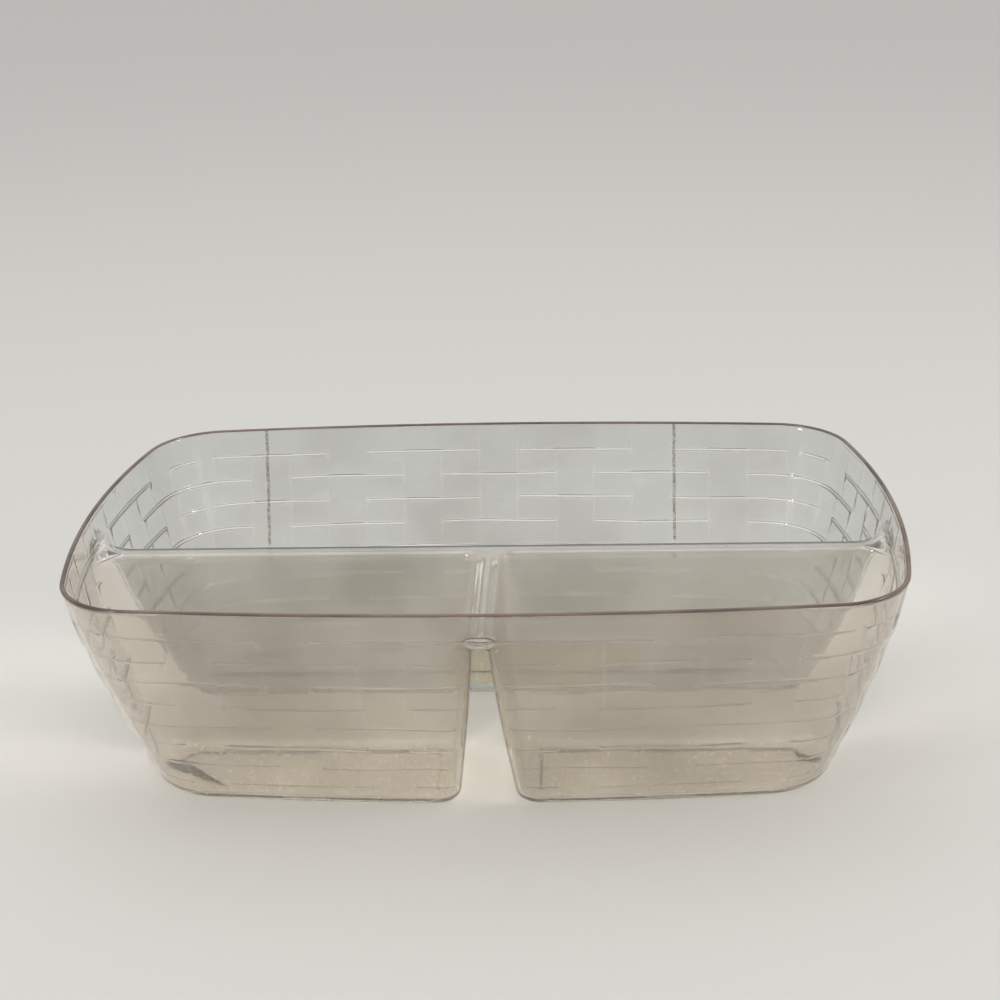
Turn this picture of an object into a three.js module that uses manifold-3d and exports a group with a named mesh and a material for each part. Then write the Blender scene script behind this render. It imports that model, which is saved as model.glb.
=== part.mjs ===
// Chip and dip server: a clear moulded tray with a long chip bowl at the back (+Y) and two dip
// cups at the front (-Y). Millimetres, +Z up, origin on the ground under the middle of the rim.
import * as THREE from 'three';
import { mergeVertices } from 'three/addons/utils/BufferGeometryUtils.js';
import Module from 'manifold-3d';

const wasm = await Module();
wasm.setup();

// ---- Driving dimensions -------------------------------------------------------------------
const trayLength = 350;         // over the rim, along X
const trayWidth = 224;          // over the rim, along Y
const trayHeight = 104;         // ground to rim
const wall = 2;                 // thickness of every wall and floor
const rimRadius = 35;           // plan radius of the four rim corners
const longBow = 10.6;           // how far the front and back sides bow outwards
const endBow = 16.5;            // how far the two ends bow outwards
const longTaper = 34.9;         // how far front and back lean in from rim to ground
const endTaper = 27.4;          // how far the ends lean in from rim to ground
const cornerTightening = 0.125; // corner radius lost per millimetre of lean

const topBand = 13.2;           // height of the plain band under the rim
const courseCount = 8;          // stepped courses below that band
const stepDepth = 0.8;          // how far each course steps in below the one above
const stepHeight = 0.8;         // height over which a step happens

const dividerDrop = 16;         // rim down to the top of both dividers
const dividerY = -10;           // middle of the long divider
const channelGap = 6.2;         // clear width between two pockets, at the top of the channel
const bowlFrontTaper = 27.5;    // lean of the bowl's front wall, channel top to ground
const cupBackTaper = 12;        // lean of each cup's back wall
const cupInnerTaper = 9;        // lean of each cup's wall along the cross channel

const bowlFrontRadius = 14;     // upright corners of the bowl at the long divider
const cupOuterRadius = 12;      // upright corner of a cup between its back and end walls
const cupInnerRadius = 9;       // upright corner of a cup where the dividers cross
const cupNotchRadius = 7;       // upright corner of a cup beside the front notch
const floorRadius = 7;          // round between walls and floor, outside

const footWidth = 3;            // flat rim of each pocket's underside that touches the ground
const footRecess = 0.8;         // how far the middle of each underside is raised
const labelLength = 94;         // paper label, along X
const labelFrontInset = 4.86;   // label's front edge to the front edge of the bowl's foot
const labelTear = 21;           // length torn off the label's front right corner
const labelThickness = 0.15;
const labelCentreX = 22;
const labelBackInset = 6.5;     // label's back edge to the back edge of the bowl's foot

const joinGap = 0.3;            // clearance between neighbouring pieces
const arcSegments = 4;          // segments on each upright corner
const sideSegments = 4;         // segments on each bowed or straight side
const smallestRadius = 1;

// ---- Levels, measured down from the rim ----------------------------------------------------
const courseHeight = (trayHeight - topBand) / courseCount;
const channelTop = dividerDrop + wall;
const pocketTop = channelTop + joinGap;

// Share of the whole lean reached at a share of the height: steep at the top, flatter below.
const leanShare = (share) => 0.6 * share + 0.6 * share ** 2 - 0.2 * share ** 3;

// Lean of an outer wall at a depth below the rim.
const outerLean = (taper) => (depth) => taper * leanShare(depth / trayHeight);

// Lean of a wall along a channel: it starts where the channel does.
const channelLean = (taper) => (depth) => {
  const share = Math.max(0, (depth - channelTop) / (trayHeight - channelTop));
  return taper * leanShare(share);
};

// ---- Outlines ------------------------------------------------------------------------------
// A side is the inside of a circle or of a straight line; both know their distance and normal.
function roundSide(x, y, radius) {
  return {
    distance: (p) => Math.hypot(p[0] - x, p[1] - y) - radius,
    normal: (p) => {
      const length = Math.hypot(p[0] - x, p[1] - y);
      return [(p[0] - x) / length, (p[1] - y) / length];
    },
  };
}

function straightSide(nx, ny, offset) {
  return {
    distance: (p) => nx * p[0] + ny * p[1] - offset,
    normal: () => [nx, ny],
  };
}

// A bowed side facing (nx, ny): halfSpan to each end, reach from the origin, bow at the middle.
function bowedSide(nx, ny, halfSpan, reach, bow, inset) {
  const radius = (halfSpan ** 2 + bow ** 2) / (2 * bow);
  return roundSide(nx * (reach - radius), ny * (reach - radius), radius - inset);
}

// Centre of the circle of a given radius that touches two neighbouring sides from inside.
function cornerCentre(first, second, radius, start) {
  let centre = start;
  for (let round = 0; round < 40; round += 1) {
    const [ax, ay] = first.normal(centre);
    const [bx, by] = second.normal(centre);
    const a = -first.distance(centre) - radius;
    const b = -second.distance(centre) - radius;
    const area = ax * by - ay * bx;
    centre = [centre[0] + (a * by - b * ay) / area, centre[1] + (ax * b - bx * a) / area];
  }
  return centre;
}

// Points of the arc around a corner centre, from one side's touching point to the next side's.
function cornerArc(centre, first, second, radius) {
  const [ax, ay] = first.normal(centre);
  const [bx, by] = second.normal(centre);
  const from = Math.atan2(ay, ax);
  const sweep = Math.atan2(ax * by - ay * bx, ax * bx + ay * by);
  const points = [];
  for (let i = 0; i <= arcSegments; i += 1) {
    const angle = from + (sweep * i) / arcSegments;
    points.push([centre[0] + radius * Math.cos(angle), centre[1] + radius * Math.sin(angle)]);
  }
  return points;
}

// Points strictly between two points of one side, moved onto that side.
function alongSide(side, from, to) {
  const points = [];
  for (let i = 1; i < sideSegments; i += 1) {
    const share = i / sideSegments;
    const p = [from[0] + (to[0] - from[0]) * share, from[1] + (to[1] - from[1]) * share];
    const n = side.normal(p);
    const d = side.distance(p);
    points.push([p[0] - n[0] * d, p[1] - n[1] * d]);
  }
  return points;
}

// Closed anticlockwise outline: corner i lies between side i and side i + 1.
function roundedOutline(sides, radii, starts) {
  const arcs = sides.map((side, i) => {
    const next = sides[(i + 1) % sides.length];
    const radius = Math.max(radii[i], smallestRadius);
    return cornerArc(cornerCentre(side, next, radius, starts[i]), side, next, radius);
  });
  return arcs.flatMap((arc, i) => {
    const nextArc = arcs[(i + 1) % arcs.length];
    const side = sides[(i + 1) % sides.length];
    return [...arc, ...alongSide(side, arc.at(-1), nextArc[0])];
  });
}

// ---- The tray's own walls at one level -----------------------------------------------------
// A level holds a depth, the step there (positive is inwards) and how far inside the outer skin.
function traySides(level, lean) {
  const inLong = lean(outerLean(longTaper), level) + level.step;
  const inEnd = lean(outerLean(endTaper), level) + level.step;
  const halfLength = trayLength / 2 - inEnd;
  const halfWidth = trayWidth / 2 - inLong;
  const bowX = (endBow * halfWidth) / (trayWidth / 2);
  const bowY = (longBow * halfLength) / (trayLength / 2);
  return {
    front: bowedSide(0, -1, halfLength, halfWidth, bowY, level.inset),
    back: bowedSide(0, 1, halfLength, halfWidth, bowY, level.inset),
    left: bowedSide(-1, 0, halfWidth, halfLength, bowX, level.inset),
    right: bowedSide(1, 0, halfWidth, halfLength, bowX, level.inset),
    radius: rimRadius - cornerTightening * inEnd - level.inset,
  };
}

const plainLean = (law, level) => law(level.depth);

// Lean including the round at the foot of the wall, whose radius and ground depend on the skin.
function filletedLean(law, level) {
  const radius = floorRadius - level.inset;
  const start = trayHeight - level.floor - radius;
  const slope = law(start + 1) - law(start);
  const drop = level.depth - start;
  if (drop < (radius * slope) / Math.hypot(1, slope)) return law(level.depth);
  return law(start) + radius * Math.hypot(1, slope) - Math.sqrt(Math.max(0, radius ** 2 - drop ** 2));
}

function trayOutline(level) {
  const { front, right, back, left, radius } = traySides(level, plainLean);
  const x = trayLength / 3;
  const y = trayWidth / 4;
  const starts = [[x, -y], [x, y], [-x, y], [-x, -y]];
  return roundedOutline([front, right, back, left], Array(4).fill(radius), starts);
}

// ---- Pockets: each is a function from a level to a closed outline ---------------------------
function bowlOutline(level) {
  const { right, back, left, radius } = traySides(level, filletedLean);
  const lean = filletedLean(channelLean(bowlFrontTaper), level);
  const frontReach = dividerY + channelGap / 2 + lean + level.inset;
  const front = straightSide(0, -1, -frontReach);
  const x = trayLength / 3;
  const starts = [[x, frontReach + rimRadius], [x, trayWidth / 4], [-x, trayWidth / 4]];
  starts.push([-x, frontReach + rimRadius]);
  const frontRadius = bowlFrontRadius - level.inset;
  return roundedOutline([front, right, back, left], [frontRadius, radius, radius, frontRadius], starts);
}

function rightCupOutline(level) {
  const { front, right, radius } = traySides(level, filletedLean);
  const backLean = filletedLean(channelLean(cupBackTaper), level);
  const innerLean = filletedLean(channelLean(cupInnerTaper), level);
  const backReach = dividerY - channelGap / 2 - backLean - level.inset;
  const innerReach = channelGap / 2 + innerLean + level.inset;
  const sides = [front, right, straightSide(0, 1, backReach), straightSide(-1, 0, -innerReach)];
  const outerX = trayLength / 3;
  const middleY = (backReach - trayWidth / 2) / 2;
  const starts = [[outerX, middleY], [outerX, middleY], [outerX / 3, middleY], [outerX / 3, middleY]];
  const radii = [radius, cupOuterRadius, cupInnerRadius, cupNotchRadius];
  return roundedOutline(sides, [radii[0], ...radii.slice(1).map((r) => r - level.inset)], starts);
}

function leftCupOutline(level) {
  return rightCupOutline(level).map(([x, y]) => [-x, y]).reverse();
}

// ---- Levels of a pocket wall ---------------------------------------------------------------
// Depths where the wall changes, top to bottom, with the step that applies there.
function courseLevels(top, inset, floor) {
  const levels = [{ depth: top, step: stepAt(top), inset, floor }];
  const filletTop = trayHeight - floor - (floorRadius - inset);
  for (let course = 0; course < courseCount; course += 1) {
    const depth = topBand + course * courseHeight;
    if (depth - stepHeight > top && depth + stepHeight < filletTop) {
      levels.push({ depth: depth - stepHeight / 2, step: -stepDepth / 2, inset, floor });
      levels.push({ depth: depth + stepHeight / 2, step: stepDepth / 2, inset, floor });
    }
  }
  return levels;
}

// Step of the wall at any depth: it runs from half a step in to half a step out on each course.
function stepAt(depth) {
  if (depth <= topBand) return (-stepDepth / 2) * (depth / topBand);
  const share = ((depth - topBand) / courseHeight) % 1;
  return stepDepth * (0.5 - share);
}

// Levels of the round at the bottom of a wall.
function filletLevels(inset, floor) {
  const radius = floorRadius - inset;
  const ground = trayHeight - floor;
  return [0.35, 0.65, 0.88, 1].map((share) => {
    const depth = ground - radius + radius * share;
    return { depth, step: stepAt(trayHeight), inset, floor };
  });
}

// ---- Meshes --------------------------------------------------------------------------------
// Joins a run of rings into one closed body: capped at both ends, or closed round on itself.
function loft(rings, closed = false) {
  const count = rings[0].length;
  const positions = rings.flatMap((ring) => ring.flat());
  const indices = [];
  const lastRing = closed ? rings.length : rings.length - 1;
  for (let r = 0; r < lastRing; r += 1) {
    const lower = r * count;
    const upper = ((r + 1) % rings.length) * count;
    for (let i = 0; i < count; i += 1) {
      const j = (i + 1) % count;
      indices.push(lower + i, lower + j, upper + j, lower + i, upper + j, upper + i);
    }
  }
  if (!closed) addCaps(rings, positions, indices);
  const geometry = new THREE.BufferGeometry();
  geometry.setAttribute('position', new THREE.Float32BufferAttribute(positions, 3));
  geometry.setIndex(indices);
  return geometry;
}

// Closes the first ring downwards and the last ring upwards, each round a point in its middle.
function addCaps(rings, positions, indices) {
  const count = rings[0].length;
  const centre = rings.length * count;
  positions.push(...middleOf(rings[0]), ...middleOf(rings.at(-1)));
  for (let i = 0; i < count; i += 1) {
    const j = (i + 1) % count;
    const last = centre - count;
    indices.push(centre, j, i, centre + 1, last + i, last + j);
  }
}

function middleOf(ring) {
  const sum = ring.reduce((total, p) => total.map((value, axis) => value + p[axis]), [0, 0, 0]);
  return sum.map((value) => value / ring.length);
}

const ringAt = (outline, level) => outline(level).map(([x, y]) => [x, y, trayHeight - level.depth]);

// Underside of a pocket: raised middle, then the flat foot.
function footRings(outline) {
  const onFoot = { depth: trayHeight, step: stepAt(trayHeight), inset: 0, floor: 0 };
  const foot = outline(onFoot);
  const inner = shrink(foot, footWidth);
  const middle = shrink(foot, footWidth + footRecess);
  return [
    middle.map(([x, y]) => [x, y, footRecess]),
    inner.map(([x, y]) => [x, y, 0]),
  ];
}

// Moves every point of an outline inwards, square to the outline.
function shrink(outline, amount) {
  return outline.map((p, i) => {
    const before = outline.at(i - 1);
    const after = outline[(i + 1) % outline.length];
    const length = Math.hypot(after[0] - before[0], after[1] - before[1]);
    const nx = (before[1] - after[1]) / length;
    const ny = (after[0] - before[0]) / length;
    return [p[0] + nx * amount, p[1] + ny * amount];
  });
}

// Open-topped shell of one pocket, from its top edge down to the ground.
function pocketShell(outline) {
  const outer = [...courseLevels(pocketTop, 0, 0), ...filletLevels(0, 0)];
  const floor = wall + footRecess;
  const inner = [...courseLevels(pocketTop, wall, floor), ...filletLevels(wall, floor)];
  const outerRings = outer.map((level) => ringAt(outline, level)).reverse();
  const innerRings = inner.map((level) => ringAt(outline, level));
  return loft([...footRings(outline), ...outerRings, ...innerRings]);
}

// Ring of wall between the rim and the top of the channels.
function rimBand() {
  const top = { depth: 0, step: 0 };
  const upper = { depth: topBand - stepHeight / 2, step: -stepDepth / 2 };
  const lower = { depth: topBand + stepHeight / 2, step: stepDepth / 2 };
  const bottom = { depth: channelTop, step: stepAt(channelTop) };
  const outer = [bottom, lower, upper, top].map((level) => ringAt(trayOutline, { ...level, inset: 0 }));
  const inner = [top, upper, lower, bottom].map((level) => ringAt(trayOutline, { ...level, inset: wall }));
  return loft([...outer, ...inner], true);
}

// Solid between two depths whose outline is one of the outline functions.
function slab(outline, topDepth, bottomDepth, inset) {
  const ring = (depth) => ringAt(outline, { depth, step: stepAt(depth), inset, floor: 0 });
  return loft([ring(bottomDepth), ring(topDepth)]);
}

function toManifold(geometry) {
  const bare = geometry.clone();
  bare.deleteAttribute('normal');
  bare.deleteAttribute('uv');
  const merged = mergeVertices(bare, 1e-4);
  return new wasm.Manifold(new wasm.Mesh({
    numProp: 3,
    vertProperties: new Float32Array(merged.attributes.position.array),
    triVerts: new Uint32Array(merged.index.array),
  }));
}

function toGeometry(solid) {
  const mesh = solid.getMesh();
  const geometry = new THREE.BufferGeometry();
  geometry.setAttribute('position', new THREE.BufferAttribute(new Float32Array(mesh.vertProperties), 3));
  geometry.setIndex(new THREE.BufferAttribute(new Uint32Array(mesh.triVerts), 1));
  return geometry;
}

// The plate that closes the top of both channels: what the three pockets leave of the tray.
function dividerCaps() {
  const overlap = 1;
  const plate = toManifold(slab(trayOutline, dividerDrop, channelTop, wall + joinGap));
  const pocket = (outline) => toManifold(slab(outline, dividerDrop - overlap, channelTop + overlap, wall));
  const pockets = [bowlOutline, rightCupOutline, leftCupOutline].map(pocket);
  const whole = pockets.reduce((rest, hole) => rest.subtract(hole), plate);
  const splitY = dividerY - channelGap / 2 - wall - cupInnerRadius;
  const behind = halfBox(splitY + joinGap / 2, trayWidth);
  const ahead = halfBox(-trayWidth, splitY - joinGap / 2);
  return {
    long: toGeometry(whole.intersect(behind)),
    cross: toGeometry(whole.intersect(ahead)),
  };
}

function halfBox(fromY, toY) {
  const box = new THREE.BoxGeometry(2 * trayLength, toY - fromY, 3 * trayHeight);
  box.translate(0, (fromY + toY) / 2, 0);
  return toManifold(box);
}

// Paper label under the bowl, with its front right corner torn away.
function label() {
  const level = { depth: trayHeight, step: stepAt(trayHeight), inset: 0, floor: 0 };
  const edges = bowlOutline(level).map(([, y]) => y);
  const backEdge = Math.max(...edges) - labelBackInset;
  const front = Math.min(...edges) + labelFrontInset;
  const left = labelCentreX - labelLength / 2;
  const right = labelCentreX + labelLength / 2;
  const middle = (front + backEdge) / 2;
  const paper = new THREE.Shape();
  paper.moveTo(left, front);
  paper.lineTo(right - labelTear, front);
  paper.quadraticCurveTo(right - labelTear * 0.8, middle, right, middle);
  paper.lineTo(right, backEdge);
  paper.lineTo(left, backEdge);
  const settings = { depth: labelThickness, bevelEnabled: false, curveSegments: 6 };
  const sheet = new THREE.ExtrudeGeometry(paper, settings);
  sheet.translate(0, 0, footRecess - joinGap - labelThickness);
  return sheet;
}

// ---- Assembly ------------------------------------------------------------------------------
const clearPlastic = (shade) => new THREE.MeshStandardMaterial({
  color: shade, roughness: 0.12, metalness: 0, transparent: true, opacity: 0.55,
});

function piece(name, geometry, material) {
  const mesh = new THREE.Mesh(geometry, material);
  mesh.name = name;
  return mesh;
}

const caps = dividerCaps();
const server = new THREE.Group();
server.add(
  piece('rim_band', rimBand(), clearPlastic(0xa89c92)),
  piece('chip_bowl', pocketShell(bowlOutline), clearPlastic(0xa9a9a1)),
  piece('left_dip_cup', pocketShell(leftCupOutline), clearPlastic(0xb4aa9b)),
  piece('right_dip_cup', pocketShell(rightCupOutline), clearPlastic(0xb8ad9e)),
  piece('long_divider_cap', caps.long, clearPlastic(0xb5b0a8)),
  piece('cross_divider_cap', caps.cross, clearPlastic(0xb5b0a8)),
  piece('base_label', label(), new THREE.MeshStandardMaterial({ color: 0xc9b588, roughness: 0.9 })),
);

export default server;
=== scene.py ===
"""Visual model of a clear moulded chip and dip server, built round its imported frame."""
import logging
import math
from dataclasses import dataclass, field
from enum import Enum
from typing import Callable, Sequence

import bpy
import numpy as np
from mathutils import Matrix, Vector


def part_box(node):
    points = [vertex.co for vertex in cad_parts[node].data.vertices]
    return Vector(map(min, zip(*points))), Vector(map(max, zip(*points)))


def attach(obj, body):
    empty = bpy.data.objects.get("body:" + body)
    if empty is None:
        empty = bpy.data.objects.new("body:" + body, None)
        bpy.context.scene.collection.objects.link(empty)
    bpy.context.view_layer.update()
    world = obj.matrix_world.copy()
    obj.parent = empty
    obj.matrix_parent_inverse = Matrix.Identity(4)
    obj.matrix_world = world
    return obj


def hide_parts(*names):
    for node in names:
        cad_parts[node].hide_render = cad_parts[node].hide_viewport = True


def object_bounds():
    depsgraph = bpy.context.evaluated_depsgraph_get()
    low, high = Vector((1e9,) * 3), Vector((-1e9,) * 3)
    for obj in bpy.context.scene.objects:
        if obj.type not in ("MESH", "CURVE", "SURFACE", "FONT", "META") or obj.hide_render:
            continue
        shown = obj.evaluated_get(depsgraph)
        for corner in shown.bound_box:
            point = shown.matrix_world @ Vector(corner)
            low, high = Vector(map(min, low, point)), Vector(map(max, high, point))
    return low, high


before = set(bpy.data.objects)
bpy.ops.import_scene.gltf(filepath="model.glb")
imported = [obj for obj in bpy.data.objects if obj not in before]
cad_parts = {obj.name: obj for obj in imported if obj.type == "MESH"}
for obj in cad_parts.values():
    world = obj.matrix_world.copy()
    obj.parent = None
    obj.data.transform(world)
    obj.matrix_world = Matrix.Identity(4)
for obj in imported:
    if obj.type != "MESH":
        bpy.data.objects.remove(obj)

LOG = logging.getLogger("chip_and_dip_server")
MM = 0.001
ROOT = "root"
RIM_SLOT = 1
LEDGE = "ledge"
CAD_BOX = [[float(value) for value in corner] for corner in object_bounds()]

CENTRE_ROUNDS = 30

Point = tuple[float, float]
Ring = list[Point]
Tree = bpy.types.NodeTree
Socket = bpy.types.NodeSocket


# ---- Colours and nodes ----------------------------------------------------------------------
def linear(code: str) -> tuple[float, float, float, float]:
    """Turns an sRGB hex colour into linear RGBA.

    Args:
        code: Six hex digits, such as "c8b48a".

    Returns:
        Linear red, green and blue with an alpha of one.
    """
    channels = [int(code[i:i + 2], 16) / 255 for i in (0, 2, 4)]
    red, green, blue = (c / 12.92 if c <= 0.04045 else ((c + 0.055) / 1.055) ** 2.4 for c in channels)
    return red, green, blue, 1.0


def add_node(tree: Tree, kind: str, settings: dict | None = None,
             links: dict | None = None, **inputs: object) -> bpy.types.Node:
    """Adds one shader node with its settings, constant inputs and links.

    Args:
        tree: Node tree that gets the node.
        kind: Node type without its "ShaderNode" prefix.
        settings: Node properties by name.
        links: Input name or index to the output socket that feeds it, or to a constant.
        **inputs: Constant inputs by name, with spaces written as underscores.

    Returns:
        The new node.
    """
    node = tree.nodes.new("ShaderNode" + kind)
    for name, value in (settings or {}).items():
        setattr(node, name, value)
    for name, value in inputs.items():
        node.inputs[name.replace("_", " ")].default_value = value
    for name, value in (links or {}).items():
        if isinstance(value, Socket):
            tree.links.new(value, node.inputs[name])
        else:
            node.inputs[name].default_value = value
    return node


def set_ramp(node: bpy.types.Node, stops: Sequence[tuple[float, tuple]]) -> None:
    """Gives a colour ramp node its stops.

    Args:
        node: The ramp node.
        stops: Position and linear colour of each stop, in order.
    """
    ramp = node.color_ramp
    while len(ramp.elements) < len(stops):
        ramp.elements.new(1.0)
    for element, (position, colour) in zip(ramp.elements, stops):
        element.position = position
        element.color = colour


def clear_to_shadows(tree: Tree, plastic: Socket,
                     tint: str) -> Socket:
    """Lets light through a clear plastic, so that it casts only a faint shadow.

    Args:
        tree: Node tree of the material.
        plastic: The plastic's shader.
        tint: sRGB hex colour of the light that comes through one skin.

    Returns:
        The mixed shader socket.
    """
    see_through = add_node(tree, "BsdfTransparent", Color=linear(tint))
    path = add_node(tree, "LightPath").outputs["Is Shadow Ray"]
    mix = add_node(tree, "MixShader", links={0: path, 1: plastic, 2: see_through.outputs["BSDF"]})
    return mix.outputs["Shader"]


# ---- Finishes -------------------------------------------------------------------------------
class Finish:
    """A finish that can make its own material."""

    name = "finish"

    def material(self) -> bpy.types.Material:
        """Makes a material with this finish.

        Returns:
            The new material.
        """
        made = bpy.data.materials.new(self.name)
        made.use_nodes = True
        tree = made.node_tree
        tree.nodes.clear()
        output = add_node(tree, "OutputMaterial")
        tree.links.new(self.shader(tree), output.inputs["Surface"])
        return made

    def shader(self, tree: Tree) -> Socket:
        """Builds the finish's shader; each finish has its own.

        Args:
            tree: Node tree of the material.

        Returns:
            The shader's output socket.
        """
        raise NotImplementedError


@dataclass(frozen=True)
class ClearPolystyrene(Finish):
    """Clear polystyrene, injection moulded and polished, grown slightly hazy and scuffed with age.

    Polystyrene bends light strongly (IOR 1.59), so every step in the wall shows as a line. The
    upper edges of the ledges get a painted highlight and the corners below them painted shade,
    both made less clear so that they show, and a faint haze scatters part of the light. Real
    scuffs are about 0.2 mm wide, too fine to show, so they are drawn scuff_mm wide.
    """

    name: str = "aged_clear_polystyrene"
    bowl_tint: str = "e5e7e6"
    cup_tint: str = "f1ece5"
    grime_and_painted_shade: str = "8f8778"
    painted_highlight: str = "fbfaf6"
    shadow_tint: str = "f5f4f1"
    ior: float = 1.59
    clearness: float = 0.94
    ledge_clearness: float = 0.5
    polish: float = 0.04
    scuffed: float = 0.3
    mottle_mm: float = 55.0
    mottle_band: tuple[float, float] = (0.42, 0.68)
    patchiness: float = 0.2
    painted_highlight_share: float = 0.9
    painted_shade_share: float = 0.75
    scuff_mm: float = 2.2
    scuff_height_mm: float = 12.0
    scuff_threshold: tuple[float, float] = (0.52, 0.72)
    scuff_edge: float = 0.1
    ripple_mm: tuple[float, float] = (30.0, 3.5)
    ripple_depth_mm: float = 0.05
    glue_line_x_mm: tuple[float, float] = (-115.0, 87.0)
    glue_line_width_mm: float = 1.4
    glue_crumb_mm: float = 1.25
    glue_crumb_band: tuple[float, float] = (0.48, 0.56)
    glue_cover: tuple[float, float] = (0.3, 0.85)
    divider_y_mm: float = -10.0
    tint_reach_mm: float = 12.0
    glue_from_y_mm: float = 80.0
    glue_from_z_mm: float = 48.0

    def shader(self, tree: Tree) -> Socket:
        """Builds the clear plastic shader.

        Args:
            tree: Node tree of the material.

        Returns:
            The shader's output socket.
        """
        where = add_node(tree, "TexCoord").outputs["Object"]
        axes = add_node(tree, "SeparateXYZ", links={"Vector": where}).outputs
        ledge = add_node(tree, "Attribute", {"attribute_name": LEDGE}).outputs["Fac"]
        colour, glue = self._colour(tree, where, axes, ledge)
        rough = add_node(tree, "MapRange", links={"Value": self._scuffs(tree, where, axes)},
                         To_Min=self.polish, To_Max=self.scuffed).outputs["Result"]
        along, across = (1 / (size * MM) for size in self.ripple_mm)
        drawn = add_node(tree, "Mapping", links={"Vector": where}, Scale=(along, along, across))
        ripple = add_node(tree, "TexNoise", links={"Vector": drawn.outputs[0]}, Scale=1.0,
                          Detail=1.0).outputs["Fac"]
        bump = add_node(tree, "Bump", links={"Height": ripple}, Strength=1.0,
                        Distance=self.ripple_depth_mm * MM).outputs["Normal"]
        # Ledges, which carry the painted highlight and painted shade, and the glue lines are made less clear
        # so that their colour shows.
        marked = add_node(tree, "Math", {"operation": "ABSOLUTE"}, {0: ledge}).outputs[0]
        dull = add_node(tree, "Math", {"operation": "MAXIMUM"}, {0: marked, 1: glue}).outputs[0]
        clear = add_node(tree, "MapRange", links={"Value": dull}, To_Min=self.clearness,
                         To_Max=self.ledge_clearness).outputs["Result"]
        plastic = add_node(tree, "BsdfPrincipled",
                           links={"Base Color": colour, "Roughness": rough, "Normal": bump,
                                  "Transmission Weight": clear}, IOR=self.ior)
        return clear_to_shadows(tree, plastic.outputs["BSDF"], self.shadow_tint)

    def _colour(self, tree: Tree, where: Socket,
                axes: Sequence[Socket],
                ledge: Socket) -> tuple[Socket, Socket]:
        """Colour of the wall: cool bowl, warm cups, mottled, with painted highlight and shade on the ledges.

        Args:
            tree: Node tree of the material.
            where: Object coordinates.
            axes: The X, Y and Z of those coordinates.
            ledge: The ledge mark of the mesh.

        Returns:
            The colour socket, and the socket that is one on the glue lines.
        """
        middle, reach = self.divider_y_mm * MM, self.tint_reach_mm * MM
        front = add_node(tree, "MapRange", {"interpolation_type": "SMOOTHSTEP"}, {"Value": axes[1]},
                         From_Min=middle + reach, From_Max=middle - reach).outputs["Result"]
        mottle = add_node(tree, "TexNoise", links={"Vector": where}, Scale=1 / (self.mottle_mm * MM),
                          Detail=3.0).outputs["Fac"]
        fewest, most = self.mottle_band
        patchy = add_node(tree, "MapRange", links={"Value": mottle}, From_Min=fewest, From_Max=most,
                          To_Max=self.patchiness).outputs["Result"]
        # Painted highlight: ledge upper edges and block side edges, where the mark is above zero, are
        # lightened towards near-white.
        painted_highlight = add_node(tree, "MapRange", links={"Value": ledge},
                        To_Max=self.painted_highlight_share).outputs["Result"]
        # Painted shade: ledge lower corners, where the mark is below zero, are darkened with the grime
        # colour.
        painted_shade = add_node(tree, "MapRange", links={"Value": ledge}, From_Max=-1.0,
                         To_Max=self.painted_shade_share).outputs["Result"]
        glue = self._glue_lines(tree, where, axes)
        colour = linear(self.bowl_tint)
        # The grime colour is real grime on the mottle and glue lines, and painted shade in the ledges' lower
        # corners.
        for share, code in ((front, self.cup_tint), (patchy, self.grime_and_painted_shade), (painted_highlight, self.painted_highlight),
                            (painted_shade, self.grime_and_painted_shade), (glue, self.grime_and_painted_shade)):
            colour = add_node(tree, "Mix", {"data_type": "RGBA"},
                              {0: share, 6: colour, 7: linear(code)}).outputs[2]
        return colour, glue

    def _glue_lines(self, tree: Tree, where: Socket,
                    axes: Sequence[Socket]) -> Socket:
        """Two upright crumbly lines of old glue on the back wall.

        Args:
            tree: Node tree of the material.
            where: Object coordinates.
            axes: The X, Y and Z of those coordinates.

        Returns:
            A socket that is above zero on the glue.
        """
        half = self.glue_line_width_mm / 2 * MM
        first, second = (add_node(tree, "Math", {"operation": "COMPARE"},
                                  {0: axes[0], 1: x_mm * MM, 2: half}).outputs[0]
                         for x_mm in self.glue_line_x_mm)
        lines = add_node(tree, "Math", {"operation": "ADD"}, {0: first, 1: second}).outputs[0]
        crumbs = add_node(tree, "TexNoise", links={"Vector": where},
                          Scale=1 / (self.glue_crumb_mm * MM), Detail=2.0).outputs["Fac"]
        fewest, most = self.glue_crumb_band
        thin, thick = self.glue_cover
        crumbly = add_node(tree, "MapRange", links={"Value": crumbs}, From_Min=fewest, From_Max=most,
                           To_Min=thin, To_Max=thick).outputs["Result"]
        limits = ((axes[1], self.glue_from_y_mm), (axes[2], self.glue_from_z_mm))
        beyond = [add_node(tree, "Math", {"operation": "GREATER_THAN"},
                           {0: axis, 1: limit * MM}).outputs[0] for axis, limit in limits]
        for share in (*beyond, crumbly):
            lines = add_node(tree, "Math", {"operation": "MULTIPLY"}, {0: lines, 1: share}).outputs[0]
        return lines

    def _scuffs(self, tree: Tree, where: Socket,
                axes: Sequence[Socket]) -> Socket:
        """Fine scuffs along the bottom edges, where the tray slides on tables.

        Args:
            tree: Node tree of the material.
            where: Object coordinates.
            axes: The X, Y and Z of those coordinates.

        Returns:
            A socket from zero, polished, to one, scuffed.
        """
        specks = add_node(tree, "TexNoise", links={"Vector": where}, Scale=1 / (self.scuff_mm * MM),
                          Detail=4.0, Roughness=0.7).outputs["Fac"]
        least, rarest = self.scuff_threshold
        low = add_node(tree, "MapRange", links={"Value": axes[2]}, From_Min=0.0,
                       From_Max=self.scuff_height_mm * MM, To_Min=least, To_Max=rarest).outputs["Result"]
        above = add_node(tree, "Math", {"operation": "SUBTRACT"}, {0: specks, 1: low}).outputs[0]
        return add_node(tree, "MapRange", links={"Value": above}, From_Min=0.0,
                        From_Max=self.scuff_edge).outputs["Result"]


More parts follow.
